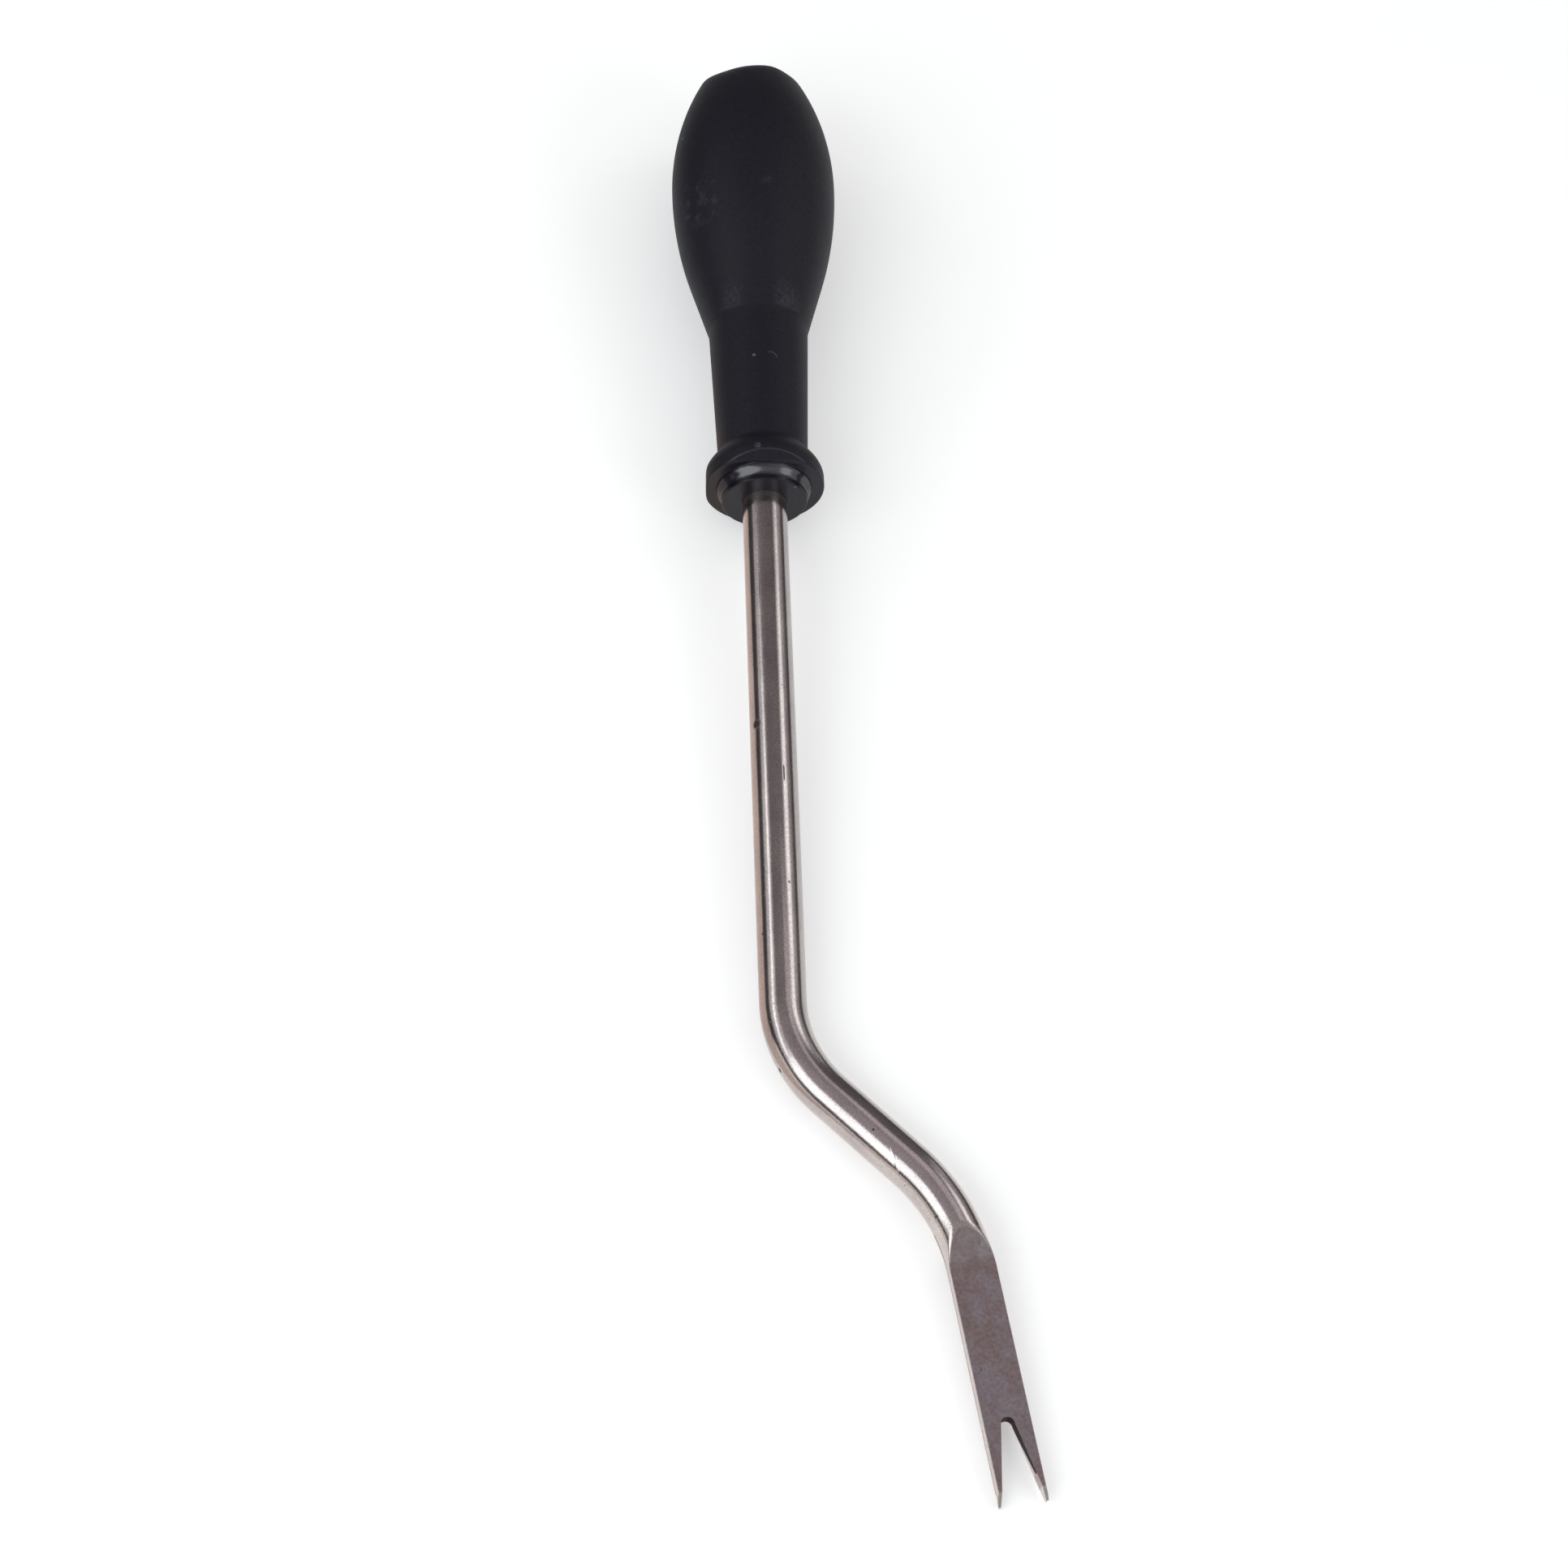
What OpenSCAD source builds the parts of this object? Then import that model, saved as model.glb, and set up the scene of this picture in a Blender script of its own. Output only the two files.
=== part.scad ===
// Ceiling handle removal tool: a moulded pear grip on a cranked round bar with a forked end.
// The tool is built about the centre of the grip's front face, with the butt towards +Y,
// the fork towards -Y and the crank towards +X, and is then laid down as it comes to rest.

/* [Bar] */
// Diameter of the round steel bar
bar_d = 8; // [6:0.5:10]
// Straight bar between the grip and the first bend
bar_len = 99; // [70:1:130]
// Angle of the first bend, away from the grip's axis
crank_angle = 45.5; // [30:0.5:60]
// Centreline radius of the first bend
crank_bend_r = 23; // [14:1:35]
// Straight length between the two bends
crank_len = 17.6; // [8:0.2:30]
// Angle of the second bend, back towards the axis
back_angle = 37; // [20:0.5:50]
// Centreline radius of the second bend
back_bend_r = 32; // [20:1:45]

/* [Fork] */
// Length from the second bend to the tips
fork_len = 38; // [30:1:50]
// Thickness between the two flats
fork_t = 2.6; // [1.6:0.2:4]
// Slope of the shoulder that runs out from the flats to the round bar
shoulder_angle = 19; // [12:1:35]
// Distance from the second bend to the foot of the shoulder, along the fork
shoulder_foot = 1.8; // [0:0.2:6]
// Radius between each flat and its shoulder
shoulder_r = 8; // [2:1:12]
// Depth of the V notch
notch_depth = 13.5; // [8:0.5:18]
// Width across the round root of the notch
notch_root_w = 2.2; // [1.4:0.1:3]
// Half angle of the notch
notch_half_angle = 11.3; // [6:0.1:12]
// Length of the bevel on each tip
tip_bevel_len = 1.9; // [0.5:0.1:3]
// Thickness left at the very tip
tip_t = 1.1; // [0.6:0.1:1.6]

/* [Tang] */
// Length of bar inside the grip
tang_len = 62; // [45:1:72]
// Width across the two wings that stop the bar turning
wing_w = 13; // [11:0.5:15]
// Thickness of the wings
wing_t = 2.4; // [1.6:0.2:4]
// Length of the wings
wing_len = 11; // [6:1:16]
// Distance from the end of the tang to the wings
wing_inset = 6; // [4:1:12]
// Chamfer on the end of the tang
tang_chamfer = 0.8; // [0.3:0.1:1.5]
// Clearance between the tang and the plastic round it
tang_fit = 0.02; // [0.01:0.01:0.1]

/* [Grip front] */
// Diameter of the boss round the bar
boss_d = 17.6; // [15:0.1:19]
// Length of the boss in front of the collar
boss_len = 3; // [2:0.1:5]
// Radius on the boss's front corner
boss_corner_r = 1.5; // [0.5:0.1:1.9]
// Diameter of the anti-roll collar
collar_d = 22.1; // [20:0.1:28]
// Length of the collar's outer land, with its front corner
collar_land = 1.6; // [1:0.1:4]
// Radius on the collar's front corner
collar_corner_r = 0.6; // [0.2:0.1:0.9]
// Length of the shoulder that falls from the collar to the neck
collar_back_len = 5.7; // [4:0.1:8]
// Height of the bulge in that shoulder
collar_back_bulge = 0.4; // [0.2:0.05:0.6]

/* [Grip] */
// Overall length of the grip
grip_len = 95.4; // [84:0.1:115]
// Diameter of the neck behind the collar
neck_front_d = 16.3; // [14:0.1:18]
// Diameter of the neck where it meets the bulb
neck_back_d = 18.3; // [16:0.1:20]
// Distance from the front face to the end of the neck
neck_end = 37.4; // [30:0.1:40]
// Largest diameter of the bulb
bulb_d = 30.8; // [26:0.1:36]
// Distance from the front face to the largest diameter
bulb_peak = 70.8; // [65:0.1:75]
// Profile radius of the bulb in front of its largest diameter
bulb_front_r = 80; // [60:1:88]
// Profile radius of the bulb behind its largest diameter
bulb_back_r = 54; // [45:1:80]
// Radius on the edge of the butt
butt_edge_r = 3; // [1:0.1:5]

/* [Hidden] */
$fn = 180;

bar_r = bar_d / 2;
boss_r = boss_d / 2;
collar_r = collar_d / 2;
neck_front_r = neck_front_d / 2;
neck_back_r = neck_back_d / 2;
bulb_r = bulb_d / 2;
clear = 1;

// Places along the grip's axis, from its front face
land_end = boss_len + collar_land;
back_end = land_end + collar_back_len;

// Centre of the arc that bulges the collar's shoulder
back_chord = norm([collar_r - neck_front_r, collar_back_len]);
back_r = pow(back_chord, 2) / (8 * collar_back_bulge) + collar_back_bulge / 2;
back_sink = (back_r - collar_back_bulge) / back_chord;
back_arc_r = (collar_r + neck_front_r) / 2 - back_sink * collar_back_len;
back_arc_u = (land_end + back_end) / 2 - back_sink * (collar_r - neck_front_r);

// Radius of the neck's taper where it starts, inside the collar
neck_start_r = neck_front_r
    - collar_back_len * (neck_back_r - neck_front_r) / (neck_end - back_end);

// Centre of the bulb's front arc, the slope of the cone that runs from the neck onto it,
// and where the two meet: the cone cuts the arc by a hair, so that they cross cleanly
hair = 0.004;
front_arc_r = bulb_r - bulb_front_r;
cone_reach = norm([bulb_peak - neck_end, neck_back_r - front_arc_r]);
cone_angle = asin(min(1, (bulb_front_r - hair) / cone_reach))
    - atan2(neck_back_r - front_arc_r, bulb_peak - neck_end);
cone_end = bulb_peak - bulb_front_r * sin(cone_angle);

// Centre of the butt's edge radius, which cuts the back arc by a hair too, and the middle
// of the two places where they cross
edge_u = grip_len - butt_edge_r;
edge_off = edge_u - bulb_peak;
edge_r = bulb_r - bulb_back_r + sqrt(pow(bulb_back_r - butt_edge_r, 2) - pow(edge_off, 2)) + hair;
edge_start = edge_u + butt_edge_r * edge_off / (bulb_back_r - butt_edge_r);

// The fork's heading, measured from the grip's axis, and the place of its tips
fork_heading = crank_angle - back_angle;
back_centre_x = crank_bend_r * (1 - cos(crank_angle)) + crank_len * sin(crank_angle)
    - back_bend_r * cos(crank_angle);
back_centre_y = -bar_len - crank_bend_r * sin(crank_angle) - crank_len * cos(crank_angle)
    - back_bend_r * sin(crank_angle);
tip_x = back_centre_x + back_bend_r * cos(fork_heading) + fork_len * sin(fork_heading);
tip_y = back_centre_y + back_bend_r * sin(fork_heading) - fork_len * cos(fork_heading);

// The tool rests on its bulb, on the outside of the first bend and on the start of the
// shoulder: the place of the last one, measured from the centre of the first bend
shoulder_run = (bar_r - fork_t / 2) / tan(shoulder_angle) - shoulder_foot;
shoulder_heading = fork_heading + asin(shoulder_run / back_bend_r);
shoulder_dx = back_centre_x + back_bend_r * cos(shoulder_heading) - crank_bend_r;
shoulder_dy = back_centre_y + back_bend_r * sin(shoulder_heading) + bar_len;

// Heading of the line under the first bend and the shoulder, and how far the largest
// diameter of the bulb lies from it
under_heading = atan2(shoulder_dy, shoulder_dx)
    + acos(-crank_bend_r / norm([shoulder_dx, shoulder_dy]));
under_reach = crank_bend_r * (1 - cos(under_heading)) + (bulb_peak + bar_len) * sin(under_heading);

// Lean of the whole tool about that line once the bulb is down too, found in a few steps
function lean(steps, last = 0) = steps == 0 ? last : lean(steps - 1, asin((bulb_front_r - bar_r
    - (bulb_front_r - bulb_r) * sqrt(1 - pow(sin(last) * sin(under_heading), 2))) / under_reach));
rest_lean = lean(8);

// The same lean as a pitch of the grip's axis and a roll about it
rest_pitch = asin(sin(rest_lean) * sin(under_heading));
rest_roll = atan2(sin(rest_lean) * cos(under_heading), cos(rest_lean));

// Height of the front face's centre when the bulb rests on the ground
rest_lift = bulb_front_r - (bulb_front_r - bulb_r) * cos(rest_pitch) - bulb_peak * sin(rest_pitch);

// Middle of the resting tool's outline on the ground
side_high = tip_x * cos(rest_roll) + bar_r * cos(fork_heading);
centre_x = (side_high - bulb_r) / 2;
end_high = grip_len * cos(rest_pitch) + (edge_r + butt_edge_r * sin(rest_pitch)) * sin(rest_pitch);
end_low = (tip_y - bar_r * sin(fork_heading)) * cos(rest_pitch)
    - tip_x * sin(rest_roll) * sin(rest_pitch);
centre_y = (end_high + end_low) / 2;

// Lays the tool down as it comes to rest
module at_rest() {
    translate([-centre_x, -centre_y, rest_lift])
        rotate([rest_pitch, 0, 0])
            rotate([0, -rest_roll, 0])
                children();
}

// Moves what follows to the far side of a bend, towards +X for a positive angle
module past_bend(radius, angle) {
    side = sign(angle) * radius;
    translate([side, 0, 0])
        rotate([0, 0, angle])
            translate([-side, 0, 0])
                children();
}

// Moves what follows to the end of the second bend, where the fork begins
module at_fork() {
    translate([0, -bar_len, 0])
        past_bend(crank_bend_r, crank_angle)
            translate([0, -crank_len, 0])
                past_bend(back_bend_r, -back_angle)
                    children();
}

// Straight round bar from the origin towards -Y, its seam along the top like the bends'
module rod(length) {
    rotate([90, 0, 0])
        rotate([0, 0, 90])
            cylinder(h = length, r = bar_r);
}

// Bent round bar from the origin, towards +X for a positive angle: a full ring without
// what lies before its start and past its end
module bend(radius, angle) {
    reach = 2 * radius + bar_d;
    difference() {
        translate([sign(angle) * radius, 0, 0])
            rotate([0, 0, 90])
                rotate_extrude()
                    translate([radius, 0])
                        rotate(90)
                            circle(r = bar_r);
        translate([-reach, 0, -bar_d])
            cube([2 * reach, reach, 2 * bar_d]);
        past_bend(radius, angle)
            translate([-reach, -reach, -bar_d])
                cube([2 * reach, reach, 2 * bar_d]);
    }
}

// The bar as it leaves the bending machine, before its end is flattened
module bent_bar() {
    rod(bar_len);
    translate([0, -bar_len, 0]) {
        bend(crank_bend_r, crank_angle);
        past_bend(crank_bend_r, crank_angle) {
            rod(crank_len);
            translate([0, -crank_len, 0]) {
                bend(back_bend_r, -back_angle);
                past_bend(back_bend_r, -back_angle)
                    rod(fork_len);
            }
        }
    }
}

// What lies above one flat, as an outline of run against height, extruded across the fork
module above_flat() {
    flat_z = fork_t / 2;
    top_z = bar_r + clear;
    turn = shoulder_r * tan(shoulder_angle / 2);
    foot = [for (a = [0 : 0.25 : 1]) [
        shoulder_foot + turn - shoulder_r * sin(a * shoulder_angle),
        flat_z + shoulder_r * (1 - cos(a * shoulder_angle))
    ]];
    shoulder_top = shoulder_foot - (top_z - flat_z) / tan(shoulder_angle);
    rotate([90, 0, -90])
        linear_extrude(height = 2 * (bar_r + clear), center = true)
            polygon(concat([
                [shoulder_top, top_z],
                [fork_len + clear, top_z],
                [fork_len + clear, flat_z]
            ], foot));
}

// What the bevel takes off the top of the tips
module above_bevel() {
    flat_z = fork_t / 2;
    rotate([90, 0, -90])
        linear_extrude(height = 2 * (bar_r + clear), center = true)
            polygon([
                [fork_len - tip_bevel_len, flat_z],
                [fork_len, tip_t - flat_z],
                [fork_len + clear, tip_t - flat_z],
                [fork_len + clear, flat_z + clear],
                [fork_len - tip_bevel_len, flat_z + clear]
            ]);
}

// V notch with a round root, cut down through the fork
module notch() {
    root_r = notch_root_w / 2;
    root_y = notch_depth - root_r;
    mouth_x = root_r + (root_y + clear) * tan(notch_half_angle);
    translate([0, -fork_len, 0])
        linear_extrude(height = 2 * bar_d, center = true) {
            polygon([[-root_r, root_y], [root_r, root_y], [mouth_x, -clear], [-mouth_x, -clear]]);
            intersection() {
                translate([0, root_y])
                    circle(r = root_r);
                translate([-root_r, root_y])
                    square([2 * root_r, root_r]);
            }
        }
}

// Outline of the two wings, grown by a gap for the space that the plastic leaves
module wings(gap) {
    back = tang_len - wing_inset;
    front = back - wing_len;
    slope = wing_w / 2 - bar_r;
    linear_extrude(height = wing_t + 2 * gap, center = true)
        polygon([
            [0, front - bar_r - gap],
            [wing_w / 2 + gap, front + slope - gap],
            [wing_w / 2 + gap, back + gap],
            [-wing_w / 2 - gap, back + gap],
            [-wing_w / 2 - gap, front + slope - gap]
        ]);
}

// The end of the bar that the grip is moulded on
module tang() {
    rotate([-90, 0, 0]) {
        cylinder(h = tang_len - tang_chamfer, r = bar_r);
        translate([0, 0, tang_len - tang_chamfer])
            cylinder(h = tang_chamfer, r1 = bar_r, r2 = bar_r - tang_chamfer);
    }
    wings(0);
}

module shaft() {
    color("#8d8682") at_rest() {
        tang();
        difference() {
            bent_bar();
            at_fork() {
                above_flat();
                mirror([0, 0, 1])
                    above_flat();
                above_bevel();
                notch();
            }
        }
    }
}

// Part of a turned outline that is a straight taper
module under_taper(start, end, start_r, end_r) {
    polygon([[0, start], [start_r, start], [end_r, end], [0, end]]);
}

// Part of a turned outline whose front corner is rounded
module under_corner(start, radius, corner_r) {
    translate([0, start])
        square([radius - corner_r, corner_r]);
    intersection() {
        translate([radius - corner_r, start])
            square(corner_r);
        translate([radius - corner_r, start + corner_r])
            circle(r = corner_r);
    }
}

// What lies outside an arc between two places on the axis, from a given radius outwards
module outside_arc(start, end, from_r, arc_u, arc_r, radius) {
    difference() {
        translate([from_r, start])
            square([bulb_d, end - start]);
        translate([arc_r, arc_u])
            circle(r = radius);
    }
}

// Half outline of the collar, with the shoulder that falls to the neck
module collar_outline() {
    intersection() {
        union() {
            under_corner(boss_len, collar_r, collar_corner_r);
            translate([0, boss_len + collar_corner_r])
                square([collar_r, collar_land + collar_back_len]);
        }
        translate([back_arc_r, back_arc_u])
            circle(r = back_r);
    }
}

// Half outline of the bulb, from the neck to the butt: a cone that is cut back to the
// front arc, the back arc and the edge of the butt
module bulb_outline() {
    cone_r = neck_back_r + (grip_len - neck_end) * tan(cone_angle);
    difference() {
        under_taper(neck_end, grip_len, neck_back_r, cone_r);
        outside_arc(cone_end, bulb_peak, neck_back_r, bulb_peak, front_arc_r, bulb_front_r);
        outside_arc(bulb_peak, grip_len + clear, neck_back_r, bulb_peak, bulb_r - bulb_back_r,
            bulb_back_r);
        outside_arc(edge_start, grip_len + clear, edge_r, edge_u, edge_r, butt_edge_r);
    }
}

// Half outline of the grip, from its front face to its butt
module grip_outline() {
    under_corner(0, boss_r, boss_corner_r);
    under_taper(boss_corner_r, boss_len, boss_r, boss_r);
    collar_outline();
    under_taper(land_end, neck_end, neck_start_r, neck_back_r);
    bulb_outline();
}

// The space that the tang fills
module tang_space() {
    rotate([-90, 0, 0])
        translate([0, 0, -clear])
            cylinder(h = tang_len + tang_fit + clear, r = bar_r + tang_fit);
    wings(tang_fit);
}

module handle() {
    color("#22242c") at_rest()
        difference() {
            rotate([-90, 0, 0])
                rotate_extrude()
                    grip_outline();
            tang_space();
        }
}

handle();
shaft();
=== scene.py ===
import math

import bmesh
import bpy
from mathutils import Matrix, Vector


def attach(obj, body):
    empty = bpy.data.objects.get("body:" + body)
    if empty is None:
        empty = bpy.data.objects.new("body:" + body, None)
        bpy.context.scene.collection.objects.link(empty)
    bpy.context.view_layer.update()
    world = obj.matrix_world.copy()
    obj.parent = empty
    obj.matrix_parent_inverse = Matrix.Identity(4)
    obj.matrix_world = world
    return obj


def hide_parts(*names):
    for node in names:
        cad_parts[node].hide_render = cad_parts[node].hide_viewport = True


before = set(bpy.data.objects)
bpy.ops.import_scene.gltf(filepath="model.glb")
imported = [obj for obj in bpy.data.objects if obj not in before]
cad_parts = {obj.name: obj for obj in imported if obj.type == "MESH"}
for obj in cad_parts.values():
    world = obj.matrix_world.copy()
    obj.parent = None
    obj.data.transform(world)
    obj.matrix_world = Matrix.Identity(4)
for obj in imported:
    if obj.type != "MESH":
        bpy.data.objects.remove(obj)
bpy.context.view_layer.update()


# The photo's camera: a 75 mm lens on a 36 mm sensor, held over the fork's side of the tool
# and looking down along it to the grip. The tool's own sizes are in millimetres as well.
MM = 0.001
LENS, SENSOR = 74.534, 36
CAMERA_PLACE = Vector((-98.5753, -312.7859, 466.6698))
CAMERA_TURN = (33.04829, -9.31359, -2.55977)

camera_data = bpy.data.cameras.new("photo_camera")
camera_data.lens, camera_data.sensor_width = LENS, SENSOR
camera = bpy.data.objects.new("photo_camera", camera_data)
bpy.context.collection.objects.link(camera)
camera.location = CAMERA_PLACE * MM
camera.rotation_euler = [math.radians(angle) for angle in CAMERA_TURN]
bpy.context.scene.camera = camera
bpy.context.scene.view_settings.view_transform = "Standard"


# The studio, in metres: a white table top in a white room, with four soft boxes round the
# tool. Grey cards stand where a room's walls, boards and ceiling would be, and only mirrored
# rays meet them.
ROOM_LIGHT = 0.55
TABLE_R, TABLE_WHITE = 3, 0.92
NEAR_GLOW, FAR_GLOW = 0.3, 0.52
FRONT_GLOW, FRONT_TINT = 0.55, (1, 0.93, 0.87, 1)
COOL, WHITE = (0.93, 0.98, 1), (1, 1, 1)
CARD_TINT, WARM_TINT = (1, 0.9, 0.95, 1), (1, 0.83, 0.75, 1)
ON_TABLE = 0.0005


class Wire:
    """A node's output. Arithmetic on it adds Math nodes."""

    def __init__(self, tree, socket=None):
        self.tree, self.socket = tree, socket

    def node(self, kind, settings, sockets, out=0):
        """Adds a node: its settings first, then the values and links of its sockets."""
        made = self.tree.nodes.new("ShaderNode" + kind)
        for name, value in settings.items():
            if name == "stops":
                ramp = made.color_ramp.elements
                while len(ramp) < len(value):
                    ramp.new(0.5)
                for stop, (place, shade) in zip(ramp, value):
                    stop.position = place
                    stop.color = (*shade, 1) if isinstance(shade, tuple) else (shade, shade, shade, 1)
            else:
                setattr(made, name, value)
        for name, value in sockets.items():
            if isinstance(value, Wire):
                self.tree.links.new(value.socket, made.inputs[name])
            else:
                made.inputs[name].default_value = value
        return Wire(self.tree, made.outputs[out]) if made.outputs else made

    def math(self, operation, *values):
        return self.node("Math", {"operation": operation}, dict(enumerate(values)))

    def __abs__(self):
        return self.math("ABSOLUTE", self)

    def __add__(self, other):
        return self.math("ADD", self, other)

    __radd__ = __add__

    def __sub__(self, other):
        return self.math("SUBTRACT", self, other)

    def __rsub__(self, other):
        return self.math("SUBTRACT", other, self)

    def __mul__(self, other):
        return self.math("MULTIPLY", self, other)

    __rmul__ = __mul__


def between(value, low, high, first=0, last=1):
    """The first value below low, the last above high, smooth between them."""
    return value.node("MapRange", {"interpolation_type": "SMOOTHSTEP"}, {
        "Value": value, "From Min": low, "From Max": high, "To Min": first, "To Max": last})


def start_shader(name):
    material = bpy.data.materials.new(name)
    material.use_nodes = True
    material.node_tree.nodes.clear()
    return material, Wire(material.node_tree)


def background_rays(flow):
    """1 for the rays that show the background: straight, mirrored and through glass."""
    rays = flow.node("LightPath", {}, {}).socket.node.outputs
    seen = Wire(flow.tree, rays["Is Camera Ray"])
    for kind in ("Is Glossy Ray", "Is Transmission Ray"):
        seen = seen.math("MAXIMUM", seen, Wire(flow.tree, rays[kind]))
    return seen


world = bpy.data.worlds.new("white_room")
bpy.context.scene.world = world
world.use_nodes = True
world.node_tree.nodes.clear()
room = Wire(world.node_tree)
shell = room.node("Background", {}, {
    "Color": (*WHITE, 1), "Strength": background_rays(room) * (1 - ROOM_LIGHT) + ROOM_LIGHT})
room.node("OutputWorld", {}, {"Surface": shell})

bpy.ops.object.select_all(action="DESELECT")
bpy.ops.mesh.primitive_circle_add(vertices=96, radius=TABLE_R, fill_type="NGON")
table = bpy.context.object
table.name = "table_top"
material, flow = start_shader("white_table")
place = flow.node("TexCoord", {}, {}, "Object")
matt = flow.node("BsdfDiffuse", {}, {"Color": (TABLE_WHITE, TABLE_WHITE, TABLE_WHITE, 1)})
from_middle = flow.node("VectorMath", {"operation": "LENGTH"}, {0: place}, "Value")
spread = between(from_middle, 0.4, 0.9, NEAR_GLOW, FAR_GLOW)
glow = flow.node("Emission", {}, {"Color": (*WHITE, 1), "Strength": background_rays(flow) * spread})
both = flow.node("AddShader", {}, {0: matt, 1: glow})
front = between(flow.node("SeparateXYZ", {}, {"Vector": place}, "Y"), -0.02, -0.11, 0, FRONT_GLOW)
mirrored = flow.node("LightPath", {}, {}, "Is Glossy Ray") * front
glow = flow.node("Emission", {}, {"Color": FRONT_TINT, "Strength": mirrored})
both = flow.node("AddShader", {}, {0: both, 1: glow})
flow.node("OutputMaterial", {}, {"Surface": both})
table.data.materials.append(material)


def from_tool(bearing, height, distance):
    """A place by its bearing from +X towards +Y and its angle above the table."""
    bearing, height = math.radians(bearing), math.radians(height)
    flat = distance * math.cos(height)
    return Vector((flat * math.cos(bearing), flat * math.sin(bearing), distance * math.sin(height)))


def facing_tool(place, roll=0):
    """The turn of a soft box or card that faces the tool."""
    turn = place.to_track_quat("Z", "Y").to_matrix().to_4x4() @ Matrix.Rotation(math.radians(roll), 4, "Z")
    return turn.to_euler()


def soft_box(name, place, width, height, level, tint, roll=0):
    lamp = bpy.data.lights.new(name, "AREA")
    lamp.shape = "RECTANGLE"
    lamp.size, lamp.size_y, lamp.color = width, height, tint
    lamp.energy = level * math.pi * width * height
    box = bpy.data.objects.new(name, lamp)
    bpy.context.collection.objects.link(box)
    box.location, box.rotation_euler = place, facing_tool(place, roll)


soft_box("left_soft_box", from_tool(-141, 34, 0.9), 0.8, 0.58, 2.2, COOL)
soft_box("left_strip", from_tool(168, 31, 1.1), 0.74, 0.14, 2.5, (0.97, 0.98, 1), -9)
soft_box("front_soft_box", from_tool(-36, 36, 1.1), 0.42, 0.4, 2.2, COOL)
soft_box("right_soft_box", from_tool(32, 44, 1.1), 0.34, 0.3, 1.3, WHITE)


def mirrored_only(name, first, last, tint=CARD_TINT):
    """Finishes the new mesh as a card for mirrored rays, shaded from one side to the other."""
    card = bpy.context.object
    card.name = name
    for kind in ("camera", "diffuse", "shadow", "transmission", "volume_scatter"):
        setattr(card, "visible_" + kind, False)
    material, flow = start_shader(name)
    place = flow.node("TexCoord", {}, {}, "Object")
    level = flow.node("MapRange", {}, {
        "Value": flow.node("SeparateXYZ", {}, {"Vector": place}, "X"),
        "From Min": -0.5, "From Max": 0.5, "To Min": first, "To Max": last})
    grey = flow.node("Emission", {}, {"Color": tint, "Strength": level})
    flow.node("OutputMaterial", {}, {"Surface": grey})
    card.data.materials.append(material)


def grey_card(name, size, first, last, place, turn=(0, 0, 0), tint=CARD_TINT):
    bpy.ops.object.select_all(action="DESELECT")
    bpy.ops.mesh.primitive_plane_add(size=1, location=place, rotation=turn)
    bpy.context.object.scale = (*size, 1)
    mirrored_only(name, first, last, tint)


bpy.ops.object.select_all(action="DESELECT")
bpy.ops.mesh.primitive_cylinder_add(
    vertices=96, radius=0.6, depth=0.14, end_fill_type="NOTHING", location=(0, 0, 0.07))
mirrored_only("dark_walls", 0.09, 0.09)
grey_card("dark_floor", (0.55, 0.66), 0.08, 0.08, (-0.325, 0.27, ON_TABLE))
grey_card("warm_floor", (0.032, 0.2), 1.02, 1.02, (-0.033, -0.02, ON_TABLE), tint=WARM_TINT)
grey_card("back_wall", (2.7, 2.2), 0.36, 0.13, (-0.35, 1.2, 0.9), (math.pi / 2, 0, 0))
grey_card("back_ceiling", (1.2, 2.8), 0.62, 0.22, (-0.4, 0.6, 2.0), (0, 0, math.pi / 2))
grey_card("ceiling", (2.8, 1.4), 0.6, 0.6, (-0.4, -0.7, 2.0))
grey_card("pale_card", (0.09, 0.11), 0.95, 0.95, (0.058, 0.01, 0.235))
for name, size, level, place in (("grey_post", (0.16, 0.36), 0.45, from_tool(42, 14, 1.15)),
                                 ("grey_board", (0.45, 0.3), 0.6, from_tool(36, 29, 1.2)),
                                 ("low_board", (0.5, 0.2), 0.28, from_tool(26, 17, 1.18))):
    grey_card(name, size, level, level, place, facing_tool(place))


# The grip: one injection moulding in blue-black plastic, moulded round the end of the bar,
# with a front disc, a bead, a collar, a neck and a bulb. It is matt from the mould and shiny
# at the front, and scuffed where it lies. A sheen where the bulb starts and a highlight along
# the collar's facet are painted on.
REST_PLACE = Vector((-11.360268, 44.045360, 10.950620))
REST_TILT, REST_ROLL = 3.713052, -4.464770
BAR_R, TANG_LEN, TANG_FIT = 4.0, 62.0, 0.02
GRIP_SIDES = 144
DISC_R, DISC_EDGE_R, BEAD_R, RISE_START, RISE_LEN = 7.7, 0.16, 8.65, 0.8, 1.9
COLLAR_U, COLLAR_R, COLLAR_EDGE_R, LAND_END = 2.9, 10.88, 0.3, 5.0
SHOULDER_BULGE, SHOULDER_BLEND, SHOULDER_LEN = 2.2, 0.9, 7.6
NECK_START, NECK_FRONT_R, NECK_BACK_R, NECK_END = 9.4, 8.13, 9.15, 37.4
BULB_R, BULB_PEAK, FRONT_ARC, BACK_ARC = 15.4, 70.8, 80.0, 54.0
GRIP_LEN, BUTT_EDGE = 95.4, 3.0
BUTT_FLATS = (((-0.3212, 0.7242, 0.6103), 74.42),
              ((-0.0327, 0.749, 0.6618), 76.86),
              ((0.491, 0.6229, 0.6091), 66.55))
COLLAR_FACET, FACET_DEPTH = (0, -1.8, 1), 1.6
COLLAR_SIDE_FLAT, SIDE_FLAT_DEPTH = (-0.9976, 0.0218, -0.0661), 10.56
PLASTIC_DARK, PLASTIC_LIGHT = (0.001, 0.0012, 0.0055), (0.0058, 0.0064, 0.014)
# The pale of worn plastic, also used for the painted sheen and the painted highlight
WORN_AND_SHEEN_PLASTIC = (0.17, 0.16, 0.2, 1)

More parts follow.
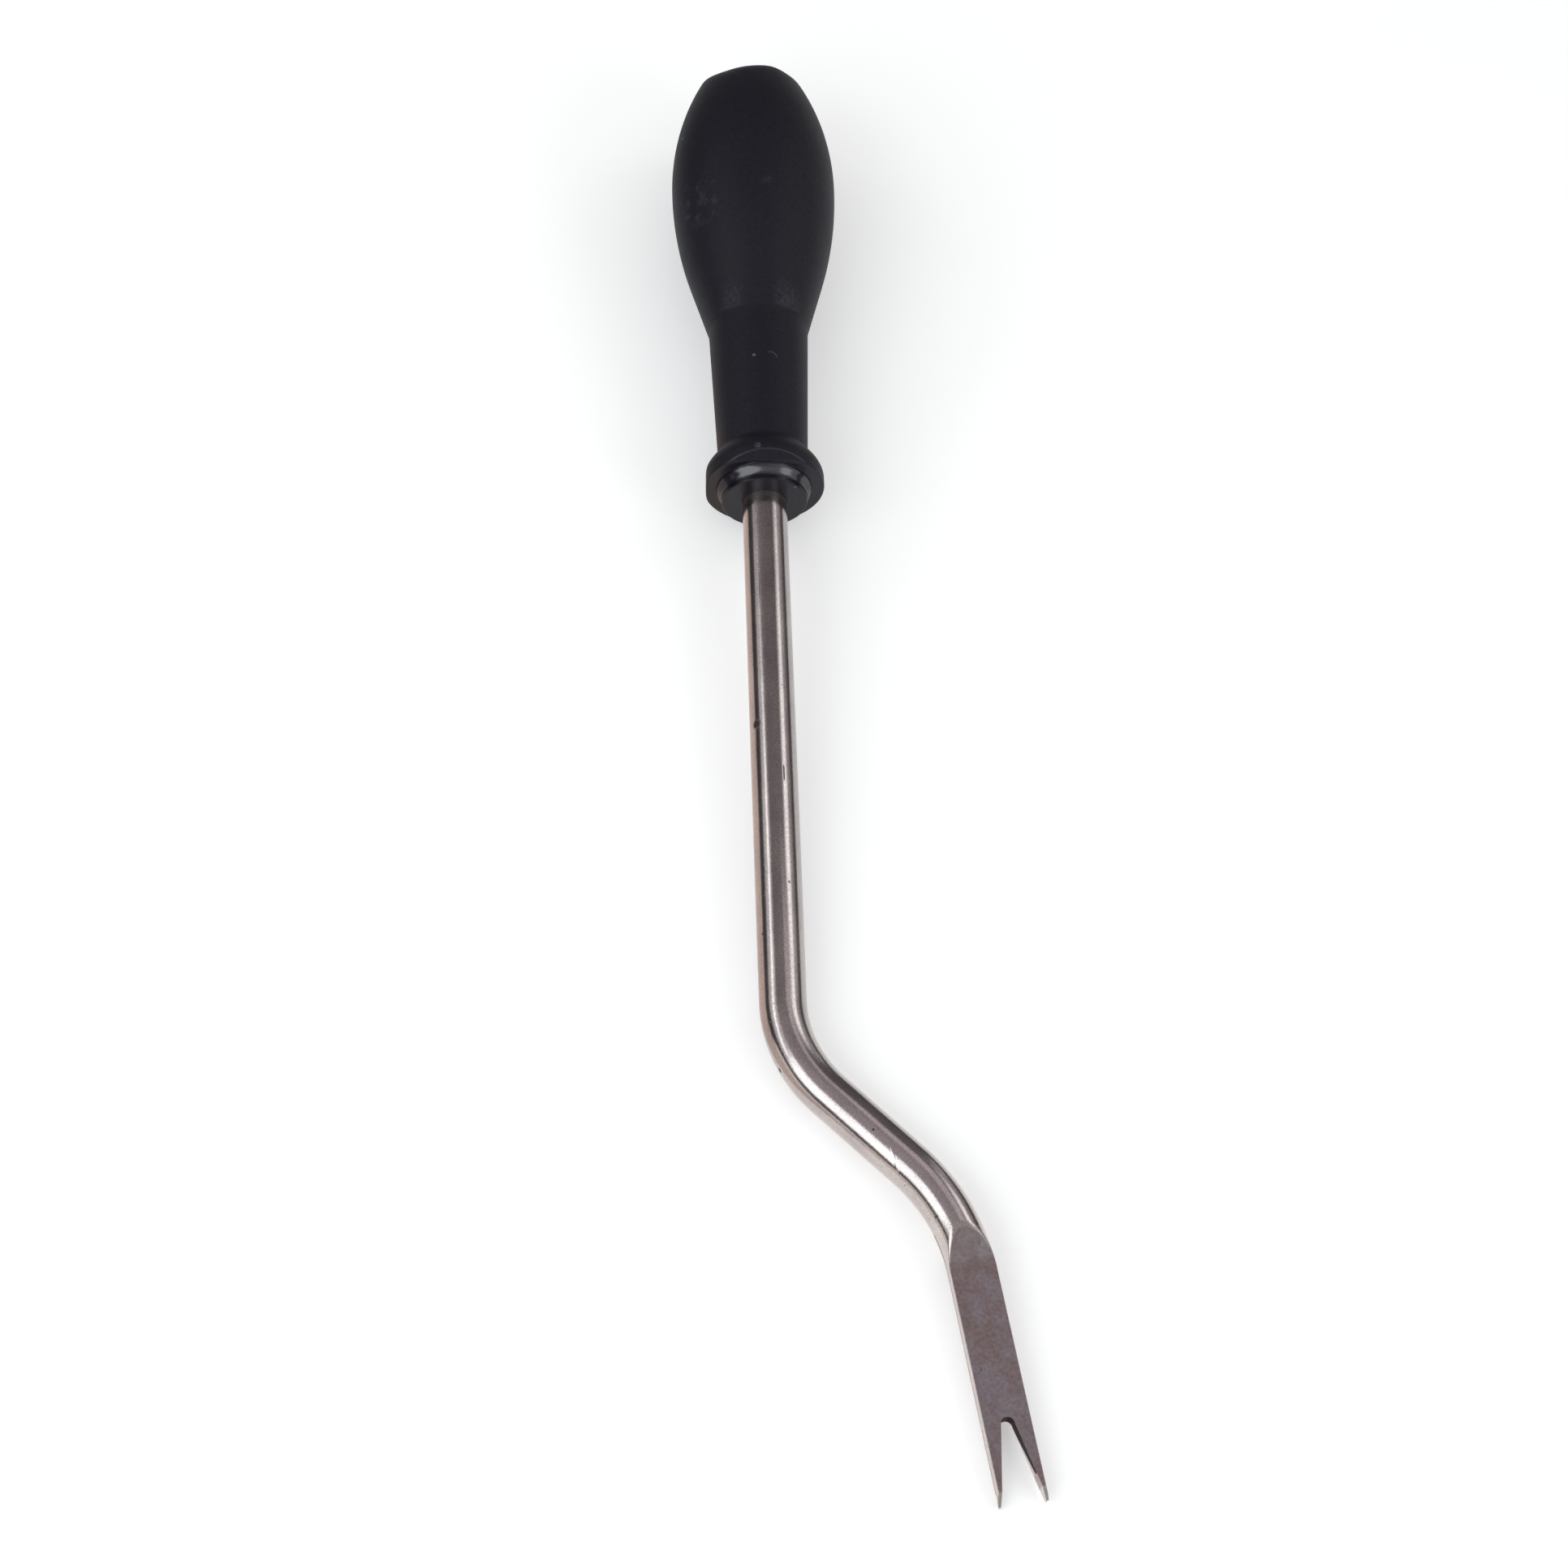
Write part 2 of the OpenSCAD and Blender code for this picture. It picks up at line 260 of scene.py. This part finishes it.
# Both pieces are made round +Y, with 0 at the grip's front face, and then laid down.
lie = (Matrix.Translation(REST_PLACE * MM)
       @ Matrix.Rotation(math.radians(REST_TILT), 4, "X")
       @ Matrix.Rotation(math.radians(REST_ROLL), 4, "Y"))


def lay_down(piece):
    bpy.ops.object.mode_set(mode="OBJECT")
    piece.matrix_world = lie
    bpy.ops.object.transform_apply(location=True, rotation=True, scale=True)
    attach(piece, "root")


def smooth_min(a, b, blend):
    h = max(blend - abs(a - b), 0) / blend
    return min(a, b) - h * h * blend / 4


def arc(centre_u, centre_r, radius, first, last, steps):
    """Stations on an arc of the outline, between angles measured from the butt's side."""
    return [(centre_u + radius * math.cos(a), centre_r + radius * math.sin(a))
            for a in [math.radians(first + (last - first) * i / steps) for i in range(steps + 1)]]


def shoulder_radius(u):
    """The bulging fall from the collar, run smoothly into the neck's slow taper."""
    part = min((u - LAND_END) / (NECK_START - LAND_END), 1.2)
    fall = COLLAR_R + (NECK_FRONT_R - COLLAR_R) * part + SHOULDER_BULGE * part * (1 - part)
    neck = NECK_FRONT_R + (NECK_BACK_R - NECK_FRONT_R) * (u - NECK_START) / (NECK_END - NECK_START)
    return -smooth_min(-fall, -neck, SHOULDER_BLEND)


def grip_stations():
    """The outline, as places along the grip and radii, from the bore's lip to the butt."""
    reach = math.hypot(BULB_PEAK - NECK_END, NECK_BACK_R - BULB_R + FRONT_ARC)
    slope = math.degrees(math.asin(FRONT_ARC / reach)
                         - math.atan2(NECK_BACK_R - BULB_R + FRONT_ARC, BULB_PEAK - NECK_END))
    edge_u = GRIP_LEN - BUTT_EDGE
    edge_r = BULB_R - BACK_ARC + math.sqrt((BACK_ARC - BUTT_EDGE) ** 2 - (edge_u - BULB_PEAK) ** 2)
    tangent = math.degrees(math.acos((edge_u - BULB_PEAK) / (BACK_ARC - BUTT_EDGE)))
    face_u, land_u = COLLAR_U + COLLAR_EDGE_R, LAND_END - COLLAR_U - COLLAR_EDGE_R
    # The disc's face and edge, the smooth rise to the bead, and the bead's back
    outline = [(0.05, BAR_R + TANG_FIT), (0, BAR_R + 0.06)] + [(0, r) for r in (4.4, 5.3, 6.3, 7.1)]
    outline += arc(DISC_EDGE_R, DISC_R - DISC_EDGE_R, DISC_EDGE_R, 180, 90, 5) + [(0.5, DISC_R)]
    outline += [(RISE_START + RISE_LEN * i / 20, DISC_R + (BEAD_R - DISC_R) * (3 - i / 10) * (i / 20) ** 2)
                for i in range(21)]
    outline += [(2.78, BEAD_R), (2.86, BEAD_R + 0.04), (COLLAR_U, BEAD_R + 0.13)]
    # The collar's face, edge and land, and the shoulder behind it
    outline += [(COLLAR_U, 8.8 + 1.7 * i / 12) for i in range(1, 12)]
    outline += arc(face_u, COLLAR_R - COLLAR_EDGE_R, COLLAR_EDGE_R, 180, 90, 5)
    outline += [(face_u + land_u * i / 16, COLLAR_R) for i in range(1, 16)]
    for u in [LAND_END + SHOULDER_LEN * i / 38 for i in range(39)] + [15, 18, 21, 24, 27, 30, 33, 35.5]:
        outline.append((u, shoulder_radius(u)))
    # The neck's end, the bulb and the butt
    outline += [(NECK_END - 0.4, NECK_BACK_R - 0.01), (NECK_END, NECK_BACK_R + 0.03),
                (NECK_END + 0.5, NECK_BACK_R + 0.5 * math.tan(math.radians(slope)))]
    outline += arc(BULB_PEAK, BULB_R - FRONT_ARC, FRONT_ARC, 90 + slope, 90, 18)
    outline += arc(BULB_PEAK, BULB_R - BACK_ARC, BACK_ARC, 90, tangent, 24)[1:]
    outline += arc(edge_u, edge_r, BUTT_EDGE, tangent, 0, 16)[1:]
    return outline + [(GRIP_LEN, edge_r * part) for part in (0.92, 0.84, 0.7, 0.5, 0.3, 0.1)]


def press_flat(point, normal, depth, blend):
    """Moves a point that stands past a plane back onto it, with a soft edge."""
    normal = Vector(normal).normalized()
    past = normal.dot(point.co) / MM
    point.co -= normal * (past - smooth_min(past, depth, blend)) * MM


# Drawn out from the closed end of the bore to the front, and back over the outside
before_u, before_r = TANG_LEN + TANG_FIT, BAR_R + TANG_FIT
bpy.ops.object.select_all(action="DESELECT")
bpy.ops.mesh.primitive_circle_add(
    vertices=GRIP_SIDES, radius=before_r * MM, location=(0, before_u * MM, 0), rotation=(math.pi / 2, 0, 0))
grip = bpy.context.object
grip.name = "moulded_grip"
bpy.ops.object.transform_apply(location=True, rotation=True, scale=True)
bpy.ops.object.mode_set(mode="EDIT")
bpy.ops.mesh.select_all(action="SELECT")
for u, r in [(40, before_r), (20, before_r)] + grip_stations():
    bpy.ops.mesh.extrude_region_move(TRANSFORM_OT_translate={"value": (0, (u - before_u) * MM, 0)})
    grown = r / before_r
    bpy.ops.transform.resize(value=(grown, 1, grown), center_override=(0, u * MM, 0))
    before_u, before_r = u, r
bpy.ops.mesh.edge_face_add()
bpy.ops.mesh.select_all(action="DESELECT")
bpy.ops.mesh.select_non_manifold()
bpy.ops.mesh.edge_face_add()
moulding = bmesh.from_edit_mesh(grip.data)
for point in moulding.verts:
    u = point.co.y / MM
    if u > 80:
        for normal, depth in BUTT_FLATS:
            press_flat(point, normal, depth, 0.9)
    elif COLLAR_U - 0.01 < u < 11:
        if u < LAND_END + 0.5:
            press_flat(point, COLLAR_FACET, FACET_DEPTH, 0.35)
        press_flat(point, COLLAR_SIDE_FLAT, SIDE_FLAT_DEPTH, 0.5)
bmesh.update_edit_mesh(grip.data)
bpy.ops.mesh.select_all(action="SELECT")
bpy.ops.mesh.normals_make_consistent(inside=False)
bpy.ops.object.mode_set(mode="OBJECT")
bpy.ops.object.shade_smooth_by_angle(angle=math.radians(30))
lay_down(grip)
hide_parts("handle")

material, flow = start_shader("blue_black_plastic")
place = flow.node("TexCoord", {}, {}, "Object")
place = flow.node("Mapping", {"vector_type": "TEXTURE"}, {
    "Vector": place, "Location": lie.to_translation(), "Rotation": lie.to_euler()})
axes = flow.node("SeparateXYZ", {}, {"Vector": place}).socket.node.outputs
side, u, top = (Wire(flow.tree, axis) * 1000 for axis in axes)


def noise(place, scale, detail, roughness=0.5):
    return place.node("TexNoise", {}, {
        "Vector": place, "Scale": scale, "Detail": detail, "Roughness": roughness})


def near(place, x, y, z, radius, core):
    """1 inside a round mark at a place in millimetres, fading from its core to its rim."""
    away = place.node("VectorMath", {"operation": "DISTANCE"}, {0: place, 1: (x * MM, y * MM, z * MM)}, "Value")
    return between(away, radius * MM, radius * core * MM)


def mark(x, u, z, radius):
    return near(place, x, u, z, radius, 0.5)


def ramp(share, *stops):
    return share.node("ValToRGB", {"stops": stops}, {"Fac": share}, "Color")


def lay_over(share, under, over, way="MIX"):
    """Lays one colour over another, by a share from 0 to 1."""
    return under.node("Mix", {"data_type": "RGBA", "blend_type": way}, {
        "Factor": share, "A": under, "B": over}, "Result")


grain = noise(place, 2600, 3)
mottle = noise(place, 1500, 4, 0.75)
cloud = noise(place, 120, 3)
rubs = noise(place, 420, 5, 0.7)
# Scuffs and specks on the bulb and the neck, and the rough mark of the mould's gate
scuffs = (mark(-11.5, 60.5, 9.3, 7) * between(rubs, 0.5, 0.66)
          + mark(1.3, 61.7, 14.8, 2.2) * between(rubs, 0.52, 0.68) * 0.6)
specks = mark(-13.65, 78.5, 5.85, 0.4) * 0.5 + mark(-1.8, 26.4, 8.57, 0.4) * 0.5 + mark(5.1, 0, 5.2, 0.24)
gate = between(abs(side + 1.9), 0.8, 0.1) * between(u, 4.4, 4.8) * between(u, 7, 5.6)
gate = gate * between(top, 8, 9) * between(rubs, 0.42, 0.56)
# A hooked hair on the neck, and a pale line along the collar's facet: a painted highlight, where the plastic is
# also made shinier
hook = flow.math("SQRT", (side - 1.3) * (side - 1.3) + (u - 26) * (u - 26))
hair = between(abs(hook - 1.05), 0.14, 0.04) * between(u, 25.9, 26.2) * between(side, 0.7, 1.0)
hair = hair * between(top, 2, 4)
facing = top * 0.4857 - u * 0.8742
crest = between(abs(facing - 1.46), 0.16, 0.05) * between(u, 2.9, 3.2) * between(u, 5.2, 4.6)
# Painted sheen: two paler patches on the upper side, where the bulb starts
painted_sheen = between(abs(side - 4.8), 3.4, 0.6) + between(abs(side + 5.4), 2.6, 0.6) * 0.5
painted_sheen = painted_sheen * between(u, 37.5, 38.0) * between(u, 44, 38.6) * between(top, 2, 6)
painted_sheen = painted_sheen * between(mottle, 0.3, 0.6)
# Wear and marks make the plastic paler, and so do the painted sheen and the painted highlight along the collar's
# facet
pale = scuffs * 0.09 + specks + gate * 0.35 + hair * 0.3 + crest * 0.1 + painted_sheen * 0.13
tone = ramp(mottle, (0.3, PLASTIC_DARK), (0.7, PLASTIC_LIGHT))
tone = lay_over(flow.math("MINIMUM", pale, 1), tone, WORN_AND_SHEEN_PLASTIC)
front_shine = flow.math("MAXIMUM", between(u, 3.3, 2.9), between(facing, 1.4, 1.5) * between(u, 5, 4.5))
front_shine = front_shine + crest * 0.3
bead = between(u, 0.9, 1.3) * between(u, 2.9, 2.6) * between(top, 2, 6)
bump = flow.node("Bump", {}, {
    "Height": grain + cloud * 0.5 + (scuffs + gate) * 0.6,
    "Strength": 0.6 - front_shine * 0.5, "Distance": 0.00005})
skin = flow.node("BsdfPrincipled", {}, {
    "Base Color": tone, "Roughness": cloud * 0.08 + 0.58 - front_shine * 0.33, "Normal": bump,
    "Specular IOR Level": 0.28, "Coat Weight": bead, "Coat Roughness": 0.13})
flow.node("OutputMaterial", {}, {"Surface": skin})
grip.data.materials.append(material)


# The shaft: one round steel bar with a dull plating, bent twice, its end pressed flat and
# notched to a fork with bevelled tips. Its other end, the tang, is held in the grip.
BAR_SIDES, TANG_CHAMFER = 160, 0.8
BAR_LEN, CRANK_ANGLE, CRANK_BEND, CRANK_LEN = 99.0, 45.5, 23.0, 17.6
BACK_ANGLE, BACK_BEND = 37.0, 32.0
FORK_LEN, FORK_T = 38.0, 2.6
SLOPE, FOOT, FOOT_R = math.radians(26), -0.95, 3.0
BEVEL_LEN, TIP_T = 1.9, 1.1
NOTCH_DEPTH, ROOT_R, NOTCH_ANGLE, ROOT_SIDES = 13.5, 1.1, math.radians(11.3), 64
STEEL_DARK, STEEL_LIGHT = (0.37, 0.335, 0.335), (0.46, 0.42, 0.4)
PRESSED_TONES = ((0.36, (0.235, 0.188, 0.182)), (0.5, (0.25, 0.208, 0.21)), (0.64, (0.26, 0.235, 0.25)))
# Colours of the lighter tips, of the painted shade in the notch, and of dirt
TIP_STEEL, NOTCH_SHADE_STEEL, DIRT = (0.3, 0.28, 0.25, 1), (0.03, 0.022, 0.022, 1), (0.06, 0.05, 0.052, 1)
DENTS = ((47.5, -50, 1.15), (87.6, -52, 0.35), (110, -84, 0.5), (127.4, -14, 0.3), (145.5, -48, 0.45))


def flat_height(run):
    """Height of the upper flat over the middle of the bar, by distance from the second bend."""
    flat = FORK_T / 2
    before = FOOT + FOOT_R * math.tan(SLOPE / 2) - run
    if before <= 0:
        return flat
    if before < FOOT_R * math.sin(SLOPE):
        return flat + FOOT_R - math.sqrt(FOOT_R ** 2 - before ** 2)
    return flat + (FOOT - run) * math.tan(SLOPE)


def tip_height(run):
    """Height of the bevel over the middle of the bar, which is above the flat away from the tips."""
    return FORK_T / 2 + (FORK_LEN - BEVEL_LEN - run) * (FORK_T - TIP_T) / BEVEL_LEN


class DrawnBar:
    """The open end of the bar as it is drawn out and bent, and the legs made so far."""

    def __init__(self, start):
        self.here, self.heading, self.legs = start, 0.0, []

    def along(self):
        return Vector((math.sin(self.heading), -math.cos(self.heading), 0))

    def run_on(self, length, pieces=1):
        """Draws the end out along its heading."""
        self.legs.append((self.here, self.heading, 0, length))
        ahead = self.along() * (length / pieces)
        for _ in range(pieces):
            bpy.ops.mesh.extrude_region_move(TRANSFORM_OT_translate={"value": ahead * MM})
            self.here = self.here + ahead

    def bend_on(self, radius, angle, steps):
        """Spins the end on round a bend, towards +X for a positive angle."""
        side = math.copysign(radius, angle)
        self.legs.append((self.here, self.heading, side, abs(radius * math.radians(angle))))
        centre = self.here + Vector((math.cos(self.heading), math.sin(self.heading), 0)) * side
        bpy.ops.mesh.spin(steps=steps, angle=-math.radians(angle), center=centre * MM, axis=(0, 0, 1))
        turned = Matrix.Rotation(math.radians(angle), 3, "Z")
        self.here = centre + turned @ (self.here - centre)
        self.heading += math.radians(angle)

    def unbend(self, point):
        """Where a point of the bent bar lay before bending: across, along and up."""
        x, y, z = point / MM
        run = 0.0
        for leg in self.legs:
            start, turn, radius, length = leg
            out = Vector((math.sin(turn), -math.cos(turn), 0))
            side = Vector((math.cos(turn), math.sin(turn), 0))
            offset = Vector((x, y, 0)) - start
            if radius == 0:
                if offset.dot(out) <= length or leg is self.legs[-1]:
                    return Vector((offset.dot(side), run + offset.dot(out), z)) * MM
            else:
                way = math.copysign(1, radius)
                centre = offset - side * radius
                angle = math.atan2(centre.dot(out), -way * centre.dot(side))
                if angle * abs(radius) <= length:
                    return Vector((radius - way * centre.length, run + angle * abs(radius), z)) * MM
            run += length


bpy.ops.object.select_all(action="DESELECT")
bpy.ops.mesh.primitive_circle_add(
    vertices=BAR_SIDES, radius=(BAR_R - TANG_CHAMFER) * MM,
    location=(0, TANG_LEN * MM, 0), rotation=(math.pi / 2, 0, 0))
bar = bpy.context.object
bar.name = "plated_bar"
bpy.ops.object.transform_apply(location=True, rotation=True, scale=True)
bpy.ops.object.mode_set(mode="EDIT")
bpy.ops.mesh.select_all(action="SELECT")
drawn = DrawnBar(Vector((0, TANG_LEN, 0)))
drawn.run_on(TANG_CHAMFER)
grown = BAR_R / (BAR_R - TANG_CHAMFER)
bpy.ops.transform.resize(value=(grown, 1, grown), center_override=drawn.here * MM)
drawn.run_on(TANG_LEN - TANG_CHAMFER, 2)
# The finish is measured from the grip's front face, so the tang's legs aren't kept
drawn.legs.clear()
drawn.run_on(BAR_LEN, 4)
drawn.bend_on(CRANK_BEND, CRANK_ANGLE, 40)
drawn.run_on(CRANK_LEN, 2)
# The last of the second bend has closer rings, for the slope that is pressed there
pressed_bend = math.degrees(math.asin(7.5 / BACK_BEND))
drawn.bend_on(BACK_BEND, -(BACK_ANGLE - pressed_bend), 24)
drawn.bend_on(BACK_BEND, -pressed_bend, 50)
bend_end, along_fork = drawn.here.copy(), drawn.along()
drawn.run_on(4, 26)
drawn.run_on(FORK_LEN - 4 - 3, 60)
drawn.run_on(3, 20)
bpy.ops.mesh.edge_face_add()
bpy.ops.mesh.select_all(action="DESELECT")
bpy.ops.mesh.select_non_manifold()
bpy.ops.mesh.edge_face_add()

# The press: both flats, their slopes and the bevel at the tips
steel = bmesh.from_edit_mesh(bar.data)
for point in steel.verts:
    run = (point.co / MM - bend_end).dot(along_fork)
    if run > -8 and point.co.y < -0.1:
        edge = 0.45 if run < FOOT else 0.25
        z = smooth_min(point.co.z / MM, flat_height(run), edge)
        z = -smooth_min(-z, flat_height(run), edge)
        if run > FORK_LEN - BEVEL_LEN - 1:
            z = smooth_min(z, tip_height(run), 0.3)
        point.co.z = z * MM
bmesh.update_edit_mesh(bar.data)
bpy.ops.mesh.select_all(action="SELECT")
bpy.ops.mesh.normals_make_consistent(inside=False)
bpy.ops.object.mode_set(mode="OBJECT")

# The notch's cutter: a disc whose front half is drawn out to the mouth
bpy.ops.object.select_all(action="DESELECT")
bpy.ops.mesh.primitive_circle_add(vertices=ROOT_SIDES, radius=ROOT_R * MM, fill_type="NGON")
cutter = bpy.context.object
bpy.ops.object.mode_set(mode="EDIT")
bpy.ops.mesh.select_all(action="DESELECT")
outline = bmesh.from_edit_mesh(cutter.data)
for point in outline.verts:
    point.select = point.co.y < -1e-7
outline.select_flush(True)
bmesh.update_edit_mesh(cutter.data)
mouth = NOTCH_DEPTH - ROOT_R + 2
widen = (ROOT_R + mouth * math.tan(NOTCH_ANGLE)) / (ROOT_R * math.cos(2 * math.pi / ROOT_SIDES))
bpy.ops.transform.resize(value=(widen, 0, 1), center_override=(0, 0, 0))
bpy.ops.transform.translate(value=(0, -mouth * MM, 0))
bpy.ops.mesh.select_all(action="SELECT")
bpy.ops.transform.translate(value=(0, 0, -BAR_R * MM))
bpy.ops.mesh.extrude_region_move(TRANSFORM_OT_translate={"value": (0, 0, 2 * BAR_R * MM)})
bpy.ops.mesh.select_all(action="SELECT")
bpy.ops.mesh.normals_make_consistent(inside=False)
bpy.ops.object.mode_set(mode="OBJECT")
root = bend_end + along_fork * (FORK_LEN - NOTCH_DEPTH + ROOT_R)
cutter.matrix_world = Matrix.Translation(root * MM) @ Matrix.Rotation(drawn.heading, 4, "Z")
notch = bar.modifiers.new("notch", "BOOLEAN")
notch.operation, notch.solver, notch.object = "DIFFERENCE", "EXACT", cutter
bpy.context.view_layer.objects.active = bar
bpy.ops.object.modifier_apply(modifier="notch")
bpy.data.objects.remove(cutter)
bpy.ops.object.select_all(action="DESELECT")
bar.select_set(True)
bpy.ops.object.mode_set(mode="EDIT")
bpy.ops.mesh.select_all(action="SELECT")
bpy.ops.mesh.remove_doubles(threshold=1e-7)
bpy.ops.object.mode_set(mode="OBJECT")
bpy.ops.object.shade_smooth_by_angle(angle=math.radians(30))

# The finish follows the bar round its bends
straight = bar.data.attributes.new("unbent", "FLOAT_VECTOR", "POINT")
for number, point in enumerate(bar.data.vertices):
    straight.data[number].vector = drawn.unbend(point.co)
lay_down(bar)
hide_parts("shaft")

material, flow = start_shader("dull_plated_steel")
unbent = flow.node("Attribute", {"attribute_name": "unbent"}, {}, "Vector")
axes = flow.node("SeparateXYZ", {}, {"Vector": unbent}).socket.node.outputs
across, run, up = (Wire(flow.tree, axis) * 1000 for axis in axes)
BENT_LEN = BAR_LEN + CRANK_BEND * math.radians(CRANK_ANGLE) + CRANK_LEN + BACK_BEND * math.radians(BACK_ANGLE)
fork_run = run - BENT_LEN


def steel_noise(scale, detail, stretch=(1, 1, 1), shift=0.0):
    put = unbent.node("Mapping", {}, {"Vector": unbent, "Scale": stretch, "Location": (shift, shift, shift)})
    return noise(put, scale, detail)


def dent(along_bar, angle, radius):
    """1 inside a round dent, by its distance along the bar and its angle from the top."""
    angle = math.radians(angle)
    return near(unbent, BAR_R * math.sin(angle), along_bar, BAR_R * math.cos(angle), radius, 0.4)


speckle = steel_noise(2600, 2, (1, 0.8, 1))
waves = steel_noise(500, 2, (1, 0.14, 1))
streaks = steel_noise(900, 2, (1, 0.03, 1), 0.3)
clouds = steel_noise(260, 4, (1, 0.5, 1), 0.7)
grit = steel_noise(3600, 3, (1, 0.8, 1), 0.2)
pits = between(steel_noise(1500, 1, (1, 0.7, 1), 0.1), 0.75, 0.8)
# Where the bar is pressed below its round, where the notch was cut, and the painted shade on the notch's walls
high = abs(up)
round_height = flow.math("SQRT", flow.math("MAXIMUM", 16.2 - across * across, 0.04))
pressed = between(round_height - high, 0.12, 0.3) * between(fork_run, -8.5, -7.5)
inside = between(high, 1.28, 1.2) * between(fork_run, 24.2, 24.6) * between(fork_run, 37.2, 36.6)
inside = inside * between(round_height - abs(across), 0.1, 0.25)
# Painted shade: the notch's walls go near-black and rough, all over at the root and only at their upper part
# towards the tips
notch_shade = inside * between(up - (fork_run - 24.5) * 0.2 + 1.7, -0.2, 0.3)
slope_shade = between(fork_run, -0.7, -1.4)
tips = between(fork_run, 35.8, 36.2)
# Wear: dents, a scratch beside the grip, a dark rub line, and a raised nick on the crank
dents = dent(*DENTS[0])
for place in DENTS[1:]:
    dents = dents + dent(*place)
scratch = between(abs(across + 1.72 + run * 0.004), 0.09, 0.03) * between(run, 16, 17.5) * between(run, 25, 22)
nick = between(abs(run - 131.3 + (across + 1.1) * 1.756), 0.45, 0.1)
nick = nick * between(across, -3.4, -3.1) * between(across, -0.8, -1.2)
rub = between(abs(across - 1.25), 0.16, 0.05) * between(run, 56, 56.5) * between(run, 59.4, 58.6)
rub = rub * between(up, 0, 1)
dirt = flow.math("MINIMUM", dents + pits * 0.6 + scratch * 0.6 + rub * 0.9, 1)
height = speckle * 0.45 + waves * 0.8 + streaks * 0.5 + grit * 0.6 + nick * 1.3
height = height - dents - scratch * 0.6 - pits * 0.7
bump = flow.node("Bump", {}, {"Height": height, "Strength": 1.0, "Distance": 0.00001})
round_tone = lay_over(1.0, ramp(clouds, (0.3, STEEL_DARK), (0.7, STEEL_LIGHT)),
                      ramp(grit, (0.35, 0.8), (0.65, 1.0)), "MULTIPLY")
freckles = ramp(steel_noise(1700, 3, shift=0.9), (0.3, (0.84, 0.82, 0.85)), (0.5, 1.0), (0.7, (1.16, 1.15, 1.12)))
blade = lay_over(1.0, ramp(steel_noise(330, 4, shift=0.5), *PRESSED_TONES), freckles, "MULTIPLY")
# Painted shade: the pressed slope before the flat is a fifth darker
blade = lay_over(slope_shade * 0.2, blade, (0, 0, 0, 1))
tone = lay_over(pressed, round_tone, blade)
tone = lay_over(tips * 0.8, tone, TIP_STEEL)
# The painted shade on the notch's walls
tone = lay_over(notch_shade * 0.95, tone, NOTCH_SHADE_STEEL)
tone = lay_over(dirt, tone, DIRT)
dullness = clouds * 0.06 + 0.15 + pressed * (1 - inside) * (1 - tips * 0.8) * 0.24
dullness = dullness + notch_shade * 0.7 + dirt * 0.35 + between(run, 2.4, 0.2) * 0.16
metal = flow.node("BsdfPrincipled", {}, {
    "Base Color": tone, "Metallic": 1.0, "Roughness": dullness, "Normal": bump})
flow.node("OutputMaterial", {}, {"Surface": metal})
bar.data.materials.append(material)
